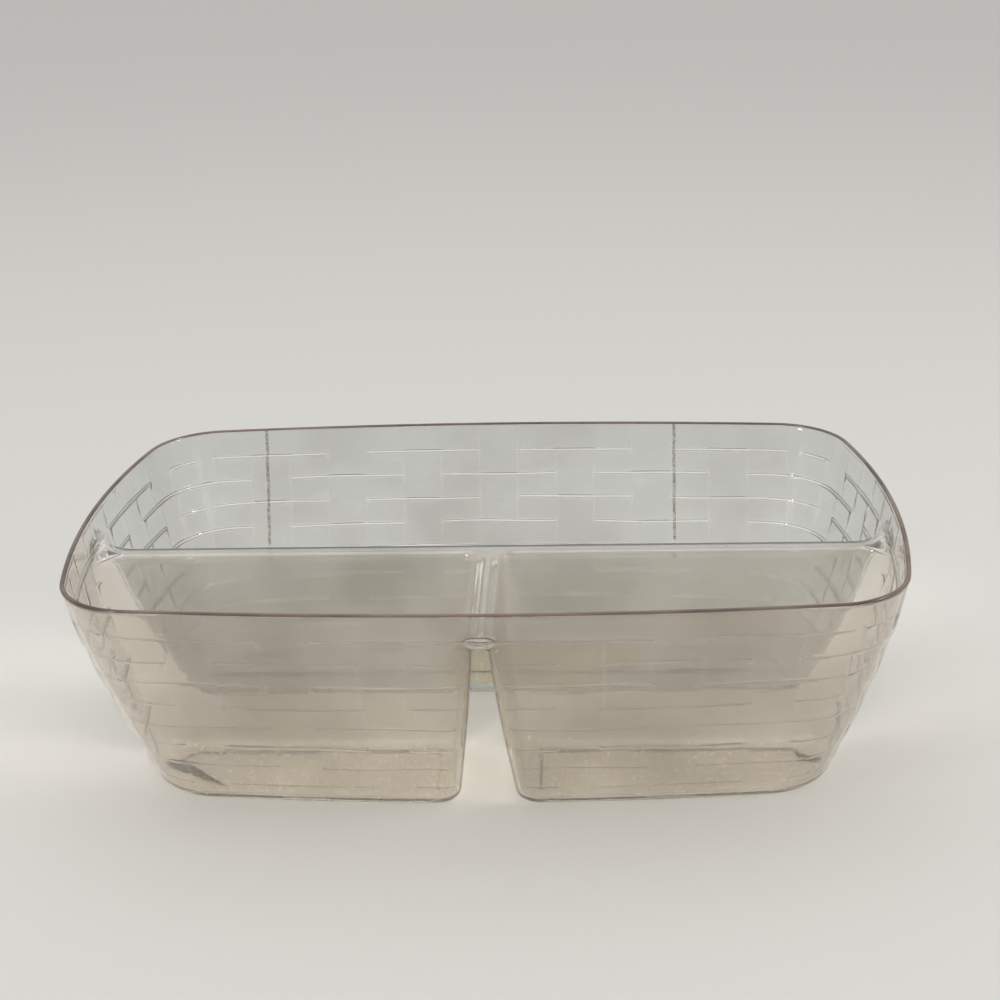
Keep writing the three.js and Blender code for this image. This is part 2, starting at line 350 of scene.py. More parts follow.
@dataclass(frozen=True)
class RimEdge(Finish):
    """The same polystyrene at the rim's edge, where light runs the length of the wall.

    Looking into the edge the eye meets centimetres of plastic, so its faint colour adds up to a
    rose-brown line.
    """

    name: str = "rose_brown_rim_edge"
    deep: str = "4a3a33"
    pale: str = "7c685e"
    ior: float = 1.59
    clearness: float = 0.12
    polish: float = 0.16
    streak_mm: float = 30.0
    streak_stops: tuple[float, float] = (0.35, 0.7)

    def shader(self, tree: Tree) -> Socket:
        """Builds the rim shader.

        Args:
            tree: Node tree of the material.

        Returns:
            The shader's output socket.
        """
        where = add_node(tree, "TexCoord").outputs["Object"]
        streaks = add_node(tree, "TexNoise", links={"Vector": where}, Scale=1 / (self.streak_mm * MM),
                           Detail=3.0).outputs["Fac"]
        ramp = add_node(tree, "ValToRGB", links={"Fac": streaks})
        set_ramp(ramp, list(zip(self.streak_stops, map(linear, (self.deep, self.pale)))))
        plastic = add_node(tree, "BsdfPrincipled", links={"Base Color": ramp.outputs["Color"]},
                           IOR=self.ior, Roughness=self.polish, Transmission_Weight=self.clearness)
        return clear_to_shadows(tree, plastic.outputs["BSDF"], self.pale)


@dataclass(frozen=True)
class AgedPaper(Finish):
    """Uncoated label paper, yellowed: matt and blotchy, darker where the glue soaked through.

    Real fibres are about 0.02 mm wide, too fine to show, so they are drawn fibre_mm wide.
    """

    name: str = "aged_label_paper"
    fresh: str = "e2cb94"
    aged: str = "c9a968"
    stained: str = "a98a55"
    blotch_mm: float = 16.0
    blotch_stops: tuple[float, float, float] = (0.3, 0.55, 0.75)
    fibre_mm: float = 0.6
    fibre_relief_mm: float = 0.05
    fibre_strength: float = 0.3
    ior: float = 1.5
    mattness: float = 0.88

    def shader(self, tree: Tree) -> Socket:
        """Builds the paper shader.

        Args:
            tree: Node tree of the material.

        Returns:
            The shader's output socket.
        """
        where = add_node(tree, "TexCoord").outputs["Object"]
        blotches = add_node(tree, "TexNoise", links={"Vector": where}, Scale=1 / (self.blotch_mm * MM),
                            Detail=5.0).outputs["Fac"]
        ramp = add_node(tree, "ValToRGB", links={"Fac": blotches})
        set_ramp(ramp, list(zip(self.blotch_stops, map(linear, (self.fresh, self.aged, self.stained)))))
        fibres = add_node(tree, "TexNoise", links={"Vector": where}, Scale=1 / (self.fibre_mm * MM),
                          Detail=2.0).outputs["Fac"]
        bump = add_node(tree, "Bump", links={"Height": fibres}, Strength=self.fibre_strength,
                        Distance=self.fibre_relief_mm * MM).outputs["Normal"]
        paper = add_node(tree, "BsdfPrincipled", links={"Base Color": ramp.outputs["Color"], "Normal": bump},
                         Roughness=self.mattness, IOR=self.ior)
        return paper.outputs["BSDF"]


@dataclass(frozen=True)
class PaleFloor(Finish):
    """Matt painted board: an even, pale ground."""

    name: str = "pale_painted_board"
    paint: str = "cbcac8"
    mattness: float = 0.9

    def shader(self, tree: Tree) -> Socket:
        """Builds the floor shader.

        Args:
            tree: Node tree of the material.

        Returns:
            The shader's output socket.
        """
        board = add_node(tree, "BsdfPrincipled", Base_Color=linear(self.paint),
                         Roughness=self.mattness)
        return board.outputs["BSDF"]


def smooth(share: float) -> float:
    """Eases a share from zero to one, held at both ends."""
    held = min(1.0, max(0.0, share))
    return held * held * (3 - 2 * held)


# ---- Outline geometry, in millimetres -------------------------------------------------------
@dataclass(frozen=True)
class RoundSide:
    """The inside of a circle, as one side of an outline."""

    x: float
    y: float
    radius: float

    def distance(self, p: Point) -> float:
        """Returns how far a point is outside the side."""
        return math.hypot(p[0] - self.x, p[1] - self.y) - self.radius

    def normal(self, p: Point) -> Point:
        """Returns the outward normal at a point."""
        length = math.hypot(p[0] - self.x, p[1] - self.y)
        return (p[0] - self.x) / length, (p[1] - self.y) / length


@dataclass(frozen=True)
class StraightSide:
    """The inside of a straight line, as one side of an outline."""

    nx: float
    ny: float
    reach: float

    def distance(self, p: Point) -> float:
        """Returns how far a point is outside the side."""
        return self.nx * p[0] + self.ny * p[1] - self.reach

    def normal(self, p: Point) -> Point:
        """Returns the outward normal, which is the same everywhere."""
        return self.nx, self.ny


Side = RoundSide | StraightSide


def corner_centre(first: Side, second: Side, radius: float, start: Point) -> Point:
    """Finds the circle of a given radius that touches two sides from inside.

    Args:
        first: Side before the corner.
        second: Side after the corner.
        radius: Radius of the circle.
        start: A point near the corner, inside the outline.

    Returns:
        The circle's centre.
    """
    centre = start
    for _ in range(CENTRE_ROUNDS):
        ax, ay = first.normal(centre)
        bx, by = second.normal(centre)
        a = -first.distance(centre) - radius
        b = -second.distance(centre) - radius
        area = ax * by - ay * bx
        centre = (centre[0] + (a * by - b * ay) / area, centre[1] + (ax * b - bx * a) / area)
    return centre


def corner_arc(first: Side, second: Side, radius: float, start: Point, segments: int) -> Ring:
    """Returns the points of the arc that rounds the corner between two sides.

    Args:
        first: Side before the corner.
        second: Side after the corner.
        radius: Corner radius.
        start: A point near the corner, inside the outline.
        segments: Number of segments on the arc.

    Returns:
        Points from the first side's touching point to the second side's.
    """
    centre = corner_centre(first, second, radius, start)
    ax, ay = first.normal(centre)
    bx, by = second.normal(centre)
    begin = math.atan2(ay, ax)
    sweep = math.atan2(ax * by - ay * bx, ax * bx + ay * by)
    angles = [begin + sweep * i / segments for i in range(segments + 1)]
    return [(centre[0] + radius * math.cos(t), centre[1] + radius * math.sin(t)) for t in angles]


def along_side(side: Side, begin: Point, end: Point, segments: int) -> Ring:
    """Spreads points evenly between two points of a side.

    Args:
        side: The side.
        begin: A point on it.
        end: A later point on it.
        segments: Number of segments from the one to the other.

    Returns:
        The points in between, in order.
    """
    points = []
    for i in range(1, segments):
        share = i / segments
        p = (begin[0] + (end[0] - begin[0]) * share, begin[1] + (end[1] - begin[1]) * share)
        nx, ny = side.normal(p)
        gap = side.distance(p)
        points.append((p[0] - nx * gap, p[1] - ny * gap))
    return points


@dataclass(frozen=True)
class Level:
    """A height in the tray's wall and the skin that is meant there."""

    depth: float
    inset: float = 0.0
    floor: float = 0.0
    flare: float = 0.0


class Skin(Enum):
    """The two skins of the moulded wall."""

    OUTER = 0
    INNER = 1


class Pocket(Enum):
    """The three pockets, in the order in which they lie round the rim."""

    RIGHT_CUP = 0
    BOWL = 1
    LEFT_CUP = 2


@dataclass
class TrayForm:
    """The tray's form: its sizes in millimetres and the outline of each pocket at each level.

    The overall size comes from the frame; the other sizes are the moulding's own.
    """

    length: float = (CAD_BOX[1][0] - CAD_BOX[0][0]) / MM
    width: float = (CAD_BOX[1][1] - CAD_BOX[0][1]) / MM
    height: float = (CAD_BOX[1][2] - CAD_BOX[0][2]) / MM
    wall: float = 2.0
    rim_radius: float = 35.0
    long_bow: float = 10.6
    end_bow: float = 16.5
    long_taper: float = 34.9
    end_taper: float = 27.4
    corner_tightening: float = 0.125
    top_band: float = 13.2
    courses: int = 8
    step_depth: float = 0.8
    block_step: float = 1.15
    ledge: float = 0.9
    crown: float = 0.16
    divider_drop: float = 16.0
    divider_y: float = -10.0
    channel_gap: float = 6.2
    bowl_front_taper: float = 27.5
    cup_back_taper: float = 12.0
    cup_inner_taper: float = 9.0
    bowl_front_radius: float = 14.0
    cup_radii: tuple[float, float, float] = (12.0, 9.0, 7.0)
    floor_radius: float = 7.0
    foot_width: float = 3.0
    foot_recess: float = 0.8
    bead_radius: float = 3.0
    vault_radius: float = 2.6
    lip_radius: float = 4.5
    upright_spacing: float = 37.8
    upright_width: float = 19.0
    upright_edge: float = 1.5
    # Painted highlight along the side edges of the upright blocks.
    joint_painted_highlight: float = 0.5
    corner_facing: float = 0.8
    corner_blend: float = 0.1
    front_facing: float = -0.5
    weave_wander: float = 0.35
    wave_mm: tuple[float, float, float] = (23.0, 9.5, 14.0)
    wave_turns: tuple[float, float] = (1.7, 2.3)
    short_wave: float = 0.6
    still_reach: float = 6.0
    still_share: float = 0.4
    between_steps: tuple[float, ...] = (0.12, 0.3, 0.5, 0.7, 0.88)
    point_spacing: float = 1.1
    corner_segments: int = 12
    bowl_channel_segments: int = 60
    cup_channel_segments: int = 30
    notch_segments: int = 16

    @property
    def arc_step(self) -> float:
        """Angle between two points of a pocket's corner to a channel."""
        return math.pi / 2 / self.corner_segments

    @property
    def tray_corner_segments(self) -> int:
        """Number of segments on each of the tray's four corners."""
        return self._segments(self.rim_radius * 1.5)

    @property
    def course_height(self) -> float:
        """Height of one stepped course."""
        return (self.height - self.top_band) / self.courses

    @property
    def channel_top(self) -> float:
        """Depth of the ceiling of the channels under the dividers."""
        return self.divider_drop + self.wall

    @staticmethod
    def lean_share(share: float) -> float:
        """Share of the whole lean reached at a share of the height."""
        return 0.6 * share + 0.6 * share ** 2 - 0.2 * share ** 3

    def outer_law(self, taper: float) -> Callable[[float], float]:
        """Returns the lean of an outer wall as a function of depth."""
        return lambda depth: taper * self.lean_share(depth / self.height)

    def channel_law(self, taper: float) -> Callable[[float], float]:
        """Returns the lean of a channel wall as a function of depth."""
        span = self.height - self.channel_top
        return lambda depth: taper * self.lean_share(max(0.0, (depth - self.channel_top) / span))

    def lean(self, law: Callable[[float], float], level: Level) -> float:
        """Lean at a level, with the round at the foot of the wall.

        Args:
            law: Lean of the plain wall as a function of depth.
            level: The level and skin.

        Returns:
            How far inside the rim line the wall is, in millimetres.
        """
        radius = self.floor_radius - level.inset
        start = self.height - level.floor - radius
        slope = law(start + 1) - law(start)
        drop = level.depth - start
        if drop < radius * slope / math.hypot(1, slope):
            return law(level.depth)
        return law(start) + radius * math.hypot(1, slope) - math.sqrt(max(0.0, radius ** 2 - drop ** 2))

    def walls(self, level: Level) -> tuple[RoundSide, RoundSide, RoundSide, RoundSide, float]:
        """Finds the tray's four walls at a level.

        Args:
            level: The level and skin.

        Returns:
            The front, right, back and left walls, and the radius of the corners between them.
        """
        in_long = self.lean(self.outer_law(self.long_taper), level)
        in_end = self.lean(self.outer_law(self.end_taper), level)
        half_length = self.length / 2 - in_end
        half_width = self.width / 2 - in_long
        bow_x = self.end_bow * half_width / (self.width / 2)
        bow_y = self.long_bow * half_length / (self.length / 2)
        long_radius = (half_length ** 2 + bow_y ** 2) / (2 * bow_y)
        end_radius = (half_width ** 2 + bow_x ** 2) / (2 * bow_x)
        front = RoundSide(0, long_radius - half_width, long_radius - level.inset)
        back = RoundSide(0, half_width - long_radius, long_radius - level.inset)
        left = RoundSide(end_radius - half_length, 0, end_radius - level.inset)
        right = RoundSide(half_length - end_radius, 0, end_radius - level.inset)
        return front, right, back, left, self.rim_radius - self.corner_tightening * in_end - level.inset

    def outline(self, pocket: Pocket, level: Level) -> tuple[Ring, Ring]:
        """Outline of a pocket at a level, anticlockwise.

        Args:
            pocket: Which pocket.
            level: The level and skin.

        Returns:
            The stretch along the tray's own walls, and the stretch along the channels.
        """
        if pocket is Pocket.BOWL:
            return self._bowl(level)
        shared, inner = self._right_cup(level)
        if pocket is Pocket.RIGHT_CUP:
            return shared, inner
        return [(-x, y) for x, y in reversed(shared)], [(-x, y) for x, y in reversed(inner)]

    def _segments(self, length: float) -> int:
        """Number of segments on a stretch of outer wall of a given length."""
        return max(2, round(length / self.point_spacing))

    def _bowl(self, level: Level) -> tuple[Ring, Ring]:
        """Outline of the chip bowl, as outline() gives it.

        Args:
            level: The level and skin.

        Returns:
            The stretch along the walls and the stretch along the channel.
        """
        _, right, back, left, radius = self.walls(level)
        reach = self.divider_y + self.channel_gap / 2 + level.inset - level.flare
        reach += self.lean(self.channel_law(self.bowl_front_taper), level)
        front = StraightSide(0, -1, -reach)
        small = self.bowl_front_radius - level.inset + level.flare
        x, y = self.length / 3, self.width / 4
        right_arc = corner_arc(front, right, small, (x, reach + small), self.corner_segments)
        back_right = corner_arc(right, back, radius, (x, y), self.tray_corner_segments)
        back_left = corner_arc(back, left, radius, (-x, y), self.tray_corner_segments)
        left_arc = corner_arc(left, front, small, (-x, reach + small), self.corner_segments)
        end = self._segments(self.width / 4)
        shared = [right_arc[-1], *along_side(right, right_arc[-1], back_right[0], end), *back_right]
        shared += along_side(back, back_right[-1], back_left[0], self._segments(self.length * 0.75))
        shared += [*back_left, *along_side(left, back_left[-1], left_arc[0], end), left_arc[0]]
        inner = [*left_arc[1:], *along_side(front, left_arc[-1], right_arc[0], self.bowl_channel_segments),
                 *right_arc[:-1]]
        return shared, inner

    def _right_cup(self, level: Level) -> tuple[Ring, Ring]:
        """Outline of the right dip cup, as outline() gives it.

        Args:
            level: The level and skin.

        Returns:
            The stretch along the walls and the stretch along the channels.
        """
        front, right, _, _, radius = self.walls(level)
        grow = level.flare - level.inset
        back_reach = self.divider_y - self.channel_gap / 2 + grow
        back_reach -= self.lean(self.channel_law(self.cup_back_taper), level)
        inner_reach = self.channel_gap / 2 - grow + self.lean(self.channel_law(self.cup_inner_taper), level)
        back = StraightSide(0, 1, back_reach)
        notch = StraightSide(-1, 0, -inner_reach)
        outer, crossing, beside = (r + grow for r in self.cup_radii)
        x, y = self.length / 3, (back_reach - self.width / 2) / 2
        front_arc = corner_arc(front, right, radius, (x, y), self.tray_corner_segments)
        outer_arc = corner_arc(right, back, outer, (x, y), self.corner_segments)
        cross_arc = corner_arc(back, notch, crossing, (x / 3, y), self.corner_segments)
        notch_arc = corner_arc(notch, front, beside, (x / 3, y), self.corner_segments)
        front_count, end_count = self._segments(self.length / 3), self._segments(self.width / 5)
        shared = [notch_arc[-1], *along_side(front, notch_arc[-1], front_arc[0], front_count), *front_arc]
        shared += [*along_side(right, front_arc[-1], outer_arc[0], end_count), outer_arc[0]]
        inner = [*outer_arc[1:], *along_side(back, outer_arc[-1], cross_arc[0], self.cup_channel_segments)]
        inner += [*cross_arc, *along_side(notch, cross_arc[-1], notch_arc[0], self.notch_segments)]
        inner += notch_arc[:-1]
        return shared, inner

    # -- The woven look of the outer walls --
    def sawtooth(self, depth: float, top: float, period: float, amount: float) -> tuple[float, float]:
        """Inset of a wall that steps in by an amount at the end of each period.

        Args:
            depth: Depth below the rim.
            top: Depth of one of the steps.
            period: Height between two steps.
            amount: Size of a step.

        Returns:
            Inset beyond the plain wall, and the ledge mark: above zero on a ledge's upper edge,
            where the plastic paints a highlight, below zero in its lower corner, where it paints
            shade, and zero elsewhere.
        """
        ramp = self.ledge / period
        share = ((depth - top) / period + ramp / 2) % 1.0
        if share < ramp:
            blend = share / ramp
            return amount * (smooth(blend) - 0.5) * (1 - ramp), math.sin(2 * math.pi * blend)
        rest = (share - ramp) / (1 - ramp)
        bulge = self.crown * 4 * rest * (1 - rest)
        return amount * (0.5 - rest) * (1 - ramp) - bulge, 0.0

    def weave(self, p: Point, normal: Point, depth: float) -> tuple[float, float]:
        """Inset that turns the plain wall into woven courses with upright blocks.

        Args:
            p: Point on the plain wall.
            normal: Outward normal there.
            depth: Depth below the rim.

        Returns:
            Inset in millimetres towards the inside, and the ledge mark.
        """
        facing = max(abs(normal[0]), abs(normal[1]))
        along = p[0] if abs(normal[1]) > abs(normal[0]) else p[1]
        upright = round(along / self.upright_spacing)
        off_centre = abs(along - upright * self.upright_spacing)
        block = smooth((self.upright_width / 2 - off_centre) / self.upright_edge + 0.5)
        block *= smooth((facing - self.corner_facing) / self.corner_blend)
        # The notch parts the front wall at its middle, so no block stands there.
        if upright == 0 and normal[1] < self.front_facing:
            block = 0.0
        plain, line = self.sawtooth(depth, self.top_band, self.course_height, self.step_depth)
        block_top = self.top_band + (0.0 if upright % 2 else self.course_height)
        tall, block_line = self.sawtooth(depth, block_top, 2 * self.course_height, self.block_step)
        # The blocks' side edges get a positive mark, which the plastic paints as a highlight.
        joint = self.joint_painted_highlight * 4 * block * (1 - block) * min(1.0, abs(tall - plain) / self.step_depth)
        fade = min(1.0, depth / self.top_band, max(0.0, (self.height - depth) / self.floor_radius))
        mark = (1 - block) * line + block * block_line
        return ((1 - block) * plain + block * tall) * fade, (joint if joint > abs(mark) else mark) * fade

    def wander(self, p: Point, depth: float) -> float:
        """How far a course line wanders up or down at a place.

        Args:
            p: Point on the wall.
            depth: Depth below the rim.

        Returns:
            How far down, in millimetres; below zero is up.
        """
        course = (depth - self.top_band) / self.course_height
        long, short, across = self.wave_mm
        long_turn, short_turn = self.wave_turns
        wave = math.sin(p[0] / long + long_turn * course)
        wave += self.short_wave * math.sin(p[0] / short - p[1] / across + short_turn * course)
        off_divider = abs(depth - self.channel_top + self.wall / 2)
        clear_of_dividers = min(1.0, max(0.0, off_divider / self.still_reach - self.still_share))
        low = min(1.0, max(0.0, (self.height - self.floor_radius - depth) / self.floor_radius))
        return self.weave_wander * wave * clear_of_dividers * low * min(1.0, depth / self.top_band)

    def course_depths(self, begin: float, end: float) -> list[float]:
        """Depths at which the woven wall is drawn, close together at each step.

        Args:
            begin: First depth.
            end: Last depth.

        Returns:
            The depths in order, both ends among them.
        """
        near = [self.ledge / 2 * (quarters / 4) for quarters in range(-4, 5)]
        depths = {begin, end}
        for course in range(-1, self.courses):
            step = self.top_band + course * self.course_height
            between = [self.course_height * share for share in self.between_steps]
            depths.update(step + offset for offset in near + between)
        return sorted(d for d in depths if begin <= d <= end)


# ---- Meshes ---------------------------------------------------------------------------------
class MeshBuilder:
    """Collects points and faces in millimetres and turns them into an object."""

    def __init__(self) -> None:
        """Starts with nothing."""
        self.points: list[tuple[float, float, float]] = []
        self.marks: list[float] = []
        self.faces: list[list[int]] = []
        self.slots: list[int] = []

    def add_points(self, points: Sequence[tuple[float, ...]]) -> list[int]:
        """Adds points.

        Args:
            points: Places in millimetres, each with an optional ledge mark after it.

        Returns:
            The points' numbers.
        """
        start = len(self.points)
        self.points.extend(point[:3] for point in points)
        self.marks.extend(point[3] if len(point) > 3 else 0.0 for point in points)
        return list(range(start, len(self.points)))

    def add_face(self, corners: list[int], slot: int = 0) -> None:
        """Adds one face with a material slot."""
        self.faces.append(corners)
        self.slots.append(slot)

    def add_strip(self, lower: list[int], upper: list[int], slot: int = 0) -> None:
        """Joins two closed rings with quads that face away from the ring's inside.

        Args:
            lower: The ring that is passed first.
            upper: The ring that is passed next.
            slot: Material slot of the faces.
        """
        for i, here in enumerate(lower):
            j = (i + 1) % len(lower)
            self.add_face([here, lower[j], upper[j], upper[i]], slot)

    def build(self, name: str, materials: Sequence[bpy.types.Material]) -> bpy.types.Object:
        """Makes the object, smooth shaded.

        Args:
            name: Name of the object.
            materials: Its material slots.

        Returns:
            The new object, linked to the scene.
        """
        mesh = bpy.data.meshes.new(name)
        mesh.from_pydata([(x * MM, y * MM, z * MM) for x, y, z in self.points], [], self.faces)
        for material in materials:
            mesh.materials.append(material)
        mesh.polygons.foreach_set("material_index", self.slots)
        mesh.polygons.foreach_set("use_smooth", [True] * len(mesh.polygons))
        mesh.attributes.new(LEDGE, "FLOAT", "POINT").data.foreach_set("value", self.marks)
        mesh.update()
        mesh.validate()
        made = bpy.data.objects.new(name, mesh)
        bpy.context.scene.collection.objects.link(made)
        return made


def shrink(ring: Ring, amount: float) -> Ring:
    """Moves every point of a closed outline inwards, square to the outline.

    Args:
        ring: The outline, anticlockwise.
        amount: How far to move it, in millimetres.

    Returns:
        The smaller outline.
    """
    moved = []
    for i, (x, y) in enumerate(ring):
        before, after = ring[i - 1], ring[(i + 1) % len(ring)]
        length = math.hypot(after[0] - before[0], after[1] - before[1])
        inward = ((before[1] - after[1]) / length, (after[0] - before[0]) / length)
        moved.append((x + inward[0] * amount, y + inward[1] * amount))
    return moved


def quarter(radius: float, segments: int) -> list[tuple[float, float]]:
    """Points of a quarter round as (along, across), from (0, radius) to (radius, 0)."""
    angles = [math.pi / 2 * (1 - i / segments) for i in range(segments + 1)]
    return [(radius * (1 - math.sin(t)), radius * (1 - math.cos(t))) for t in angles]


@dataclass
class ClearTray:
    """The one-piece clear moulding: rim, stepped walls, three pockets and hollow dividers."""

    form: TrayForm = field(default_factory=TrayForm)
    plastic: ClearPolystyrene = field(default_factory=ClearPolystyrene)
    edge: RimEdge = field(default_factory=RimEdge)
    junction_segments: int = 40
    sweep_radius: float = 9.0
    sweep_room: float = 0.8
    weave_turn: float = math.radians(38)
    rim_round: float = 0.8
    rim_segments: int = 8
    sweep_segments: int = 10
    edge_segments: int = 8
    smallest_gap: float = 0.05
    floor_steps: tuple[float, float] = (0.5, 1.5)
    foot_edge: float = 0.4
    recess_edge: float = 1.0
    mesh: MeshBuilder = field(default_factory=MeshBuilder)

    def build(self) -> bpy.types.Object:
        """Builds the moulding and sets it on the frame.

        Returns:
            The tray object.
        """
        outer_top, outer_low = self._upper_wall(Skin.OUTER)
        inner_top, inner_low = self._upper_wall(Skin.INNER)
        self._rim(outer_top, inner_top)
        self._level_face(outer_low, Skin.OUTER)
        self._level_face(inner_low, Skin.INNER)
        tray = self.mesh.build("clear_tray", [self.plastic.material(), self.edge.material()])
        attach(tray, ROOT)
        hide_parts("rim_band", "chip_bowl", "left_dip_cup", "right_dip_cup",
                    "long_divider_cap", "cross_divider_cap")
        return tray

    # -- Upper wall, which all pockets share --
    def _upper_wall(self, skin: Skin) -> tuple[list[int], dict]:
        """Builds one skin of the shared upper wall.

        Args:
            skin: Which skin.

        Returns:
            The top ring, and the parts of the lowest ring by pocket and by junction.
        """
        form = self.form
        bottom = form.channel_top if skin is Skin.OUTER else form.divider_drop
        radius = form.lip_radius if skin is Skin.OUTER else self.sweep_radius
        depths = set(form.course_depths(self.rim_round, bottom))
        depths.update(bottom - along for along, _ in quarter(radius, self.sweep_segments))
        rings = [self._upper_ring(depth, bottom, skin) for depth in sorted(depths)]
        for above, below in zip(rings, rings[1:]):
            self._strip(above["ring"], below["ring"], skin)
        return rings[0]["ring"], rings[-1]

    def _strip(self, above: list[int], below: list[int], skin: Skin) -> None:
        """Joins a ring to the one below it so that the faces look out of the plastic.

        Args:
            above: The upper ring.
            below: The lower ring.
            skin: Which skin.
        """
        if skin is Skin.OUTER:
            self.mesh.add_strip(below, above)
        else:
            self.mesh.add_strip(above, below)

    def _upper_ring(self, depth: float, bottom: float, skin: Skin) -> dict:
        """Adds one ring of the shared wall.

        Args:
            depth: Depth of the ring below the rim.
            bottom: Depth where the shared wall ends.
            skin: Which skin.

        Returns:
            The ring, and its parts by pocket and by junction.
        """
        form = self.form
        flare = form.vault_radius if skin is Skin.OUTER else form.bead_radius
        inset = 0.0 if skin is Skin.OUTER else form.wall
        outlines = {pocket: form.outline(pocket, Level(depth, inset, 0.0, flare)) for pocket in Pocket}
        front, right, _, left, _ = form.walls(Level(depth, inset))
        cup_end, _, beside_notch = (radius + flare - inset for radius in form.cup_radii)
        bowl_end = form.bowl_front_radius + flare - inset
        junctions = {Pocket.RIGHT_CUP: (right, cup_end, bowl_end), Pocket.BOWL: (left, bowl_end, cup_end),
                     Pocket.LEFT_CUP: (front, beside_notch, beside_notch)}
        parts: dict = {}
        ring: list[int] = []
        for pocket, (side, first, second) in junctions.items():
            following = Pocket((pocket.value + 1) % 3)
            shared = outlines[pocket][0]
            parts[pocket] = self.mesh.add_points(self._woven(outlines[pocket], depth)[:len(shared)])
            between = along_side(side, shared[-1], outlines[following][0][0], self.junction_segments)
            swept = self._sweep(side, between, (shared[-1], outlines[following][0][0]), (first, second),
                                depth, bottom - depth, skin)
            parts[pocket, following] = self.mesh.add_points(swept)
            ring += parts[pocket] + parts[pocket, following]
        parts["ring"] = ring
        return parts

    def _sweep(self, side: Side, between: Ring, ends: tuple[Point, Point], corners: tuple[float, float],
               depth: float, rise: float, skin: Skin) -> list[tuple[float, float, float, float]]:
        """Wall points where a divider meets the wall, drawn in to a smooth sweep.

        The sweep is widest on the divider's middle line and dies out where the pockets' corners
        leave the wall, so that it stays between those corners.

        Args:
            side: The wall.
            between: Plain points between two pockets' stretches.
            ends: The last point of one stretch and the first of the next.
            corners: Radii of the two pocket corners.
            depth: Depth below the rim.
            rise: Height above the divider's top or the channel's ceiling.
            skin: Which skin.

        Returns:
            The swept points in space, each with its ledge mark.
        """
        form = self.form
        largest = form.lip_radius if skin is Skin.OUTER else self.sweep_radius
        points = []
        for p in between:
            aways = [min(corner, math.dist(p, end)) for end, corner in zip(ends, corners)]
            drawn = min(self._drawn_in(*pair, rise / largest) for pair in zip(aways, corners))
            most = min(self._drawn_in(*pair, 0.0) for pair in zip(aways, corners))
            kept = max(self._corner_fade(math.asin(away / corner)) for corner, away in zip(corners, aways))
            left = 1 - (1 - kept) * (drawn / most if most > 0 else 0.0)
            normal = side.normal(p)
            relief, mark = form.weave(p, normal, depth)
            inset = drawn + relief * left
            height = form.height - depth - form.wander(p, depth)
            points.append((p[0] - normal[0] * inset, p[1] - normal[1] * inset, height, mark * left))
        return points

    def _drawn_in(self, away: float, corner: float, climb: float) -> float:
        """How far the sweep draws the wall in.

        Args:
            away: Distance from where a pocket's corner leaves the wall, up to the corner's radius.
            corner: Radius of that corner.
            climb: Height above the divider or ceiling, as a share of the sweep's height.

        Returns:
            A little less than the corner's own distance from the wall, dying out with height.
        """
        off_middle = corner - away
        reach = away - math.hypot(off_middle, climb * corner) + off_middle
        return self.sweep_room * (corner - math.sqrt(corner ** 2 - max(0.0, reach) ** 2))

    def _corner_fade(self, angle: float) -> float:
        """How much of the wall's weave is left at an angle round a pocket's corner."""
        return 1 - smooth(angle / self.weave_turn)

    def _woven(self, outline: tuple[Ring, Ring], depth: float) -> list[tuple[float, float, float, float]]:
        """Gives a pocket's ring its height, and its outer-wall stretch the woven relief.

        Args:
            outline: The stretch on the tray's walls and the one along the channels.
            depth: Depth below the rim.

        Returns:
            Points in space, each with its ledge mark; the relief dies out round the corners to
            the channels.
        """
        form = self.form
        ring = outline[0] + outline[1]
        points = []
        for i, (x, y) in enumerate(ring):
            beyond = min(i - len(outline[0]) + 1, len(ring) - i)
            kept = self._corner_fade(beyond * form.arc_step) if beyond > 0 else 1.0
            height = form.height - depth
            if kept == 0.0:
                points.append((x, y, height, 0.0))
                continue
            before, after = ring[i - 1], ring[(i + 1) % len(ring)]
            length = math.dist(before, after)
            normal = ((after[1] - before[1]) / length, (before[0] - after[0]) / length)
            inset, mark = (kept * value for value in form.weave((x, y), normal, depth))
            height -= kept * form.wander((x, y), depth)
            points.append((x - normal[0] * inset, y - normal[1] * inset, height, mark))
        return points

    def _rim(self, outer: list[int], inner: list[int]) -> None:
        """Closes the wall with a rounded rim edge.

        Args:
            outer: Top ring of the outer skin.
            inner: Top ring of the inner skin.
        """
        height = self.form.height
        top_out = [self.mesh.points[i] for i in outer]
        top_in = [self.mesh.points[i] for i in inner]
        previous = outer
        for step in range(1, self.rim_segments):
            angle = math.pi * step / self.rim_segments
            across = 0.5 - 0.5 * math.cos(angle)
            drop = self.rim_round * (1 - math.sin(angle))
            ring = [(a[0] + (b[0] - a[0]) * across, a[1] + (b[1] - a[1]) * across, height - drop)
                    for a, b in zip(top_out, top_in)]
            current = self.mesh.add_points(ring)
            self.mesh.add_strip(previous, current, RIM_SLOT)
            previous = current
        self.mesh.add_strip(previous, inner, RIM_SLOT)

    # -- Level faces between the pockets, and the pockets below them --
    def _level_face(self, parts: dict, skin: Skin) -> None:
        """Builds the pockets of one skin and the level face that joins them.

        Args:
            parts: The lowest ring of the shared wall, by pocket and by junction.
            skin: Which skin.
        """
        loop: list[int] = []
        for pocket in Pocket:
            following = Pocket((pocket.value + 1) % 3)
            channel = self._pocket(pocket, parts[pocket], skin)
            loop += [parts[pocket][0], *reversed(channel), parts[pocket][-1], *parts[pocket, following]]
        self.mesh.add_face(loop if skin is Skin.INNER else loop[::-1])

